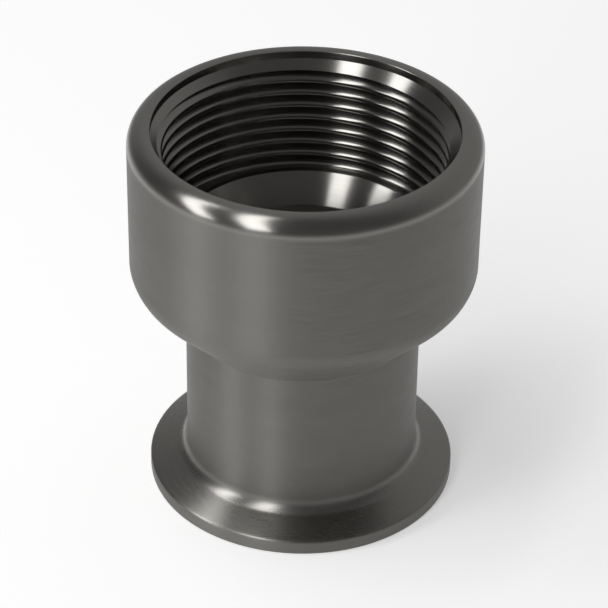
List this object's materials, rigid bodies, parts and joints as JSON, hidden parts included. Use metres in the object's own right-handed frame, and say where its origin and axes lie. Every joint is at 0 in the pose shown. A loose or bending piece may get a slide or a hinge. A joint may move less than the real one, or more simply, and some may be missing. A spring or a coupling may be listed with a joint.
{
  "type": "sanitary clamp threaded adapter",
  "caption": "Turned stainless pipe adapter: a flanged tube end for a sanitary clamp and gasket, widening to a round hub with a parallel female pipe thread.",
  "frame": {"origin": "centre of the flange's sealing face, which is the lowest face", "axes": "+Z along the bore axis from the flange to the threaded mouth"},
  "size_m": [0.056, 0.056, 0.065],
  "materials": {
    "stainless": "satin turned and polished stainless steel, fine marks round the axis"
  },
  "bodies": {
    "root": {"adapter_body": "stainless"}
  },
  "joints": []
}
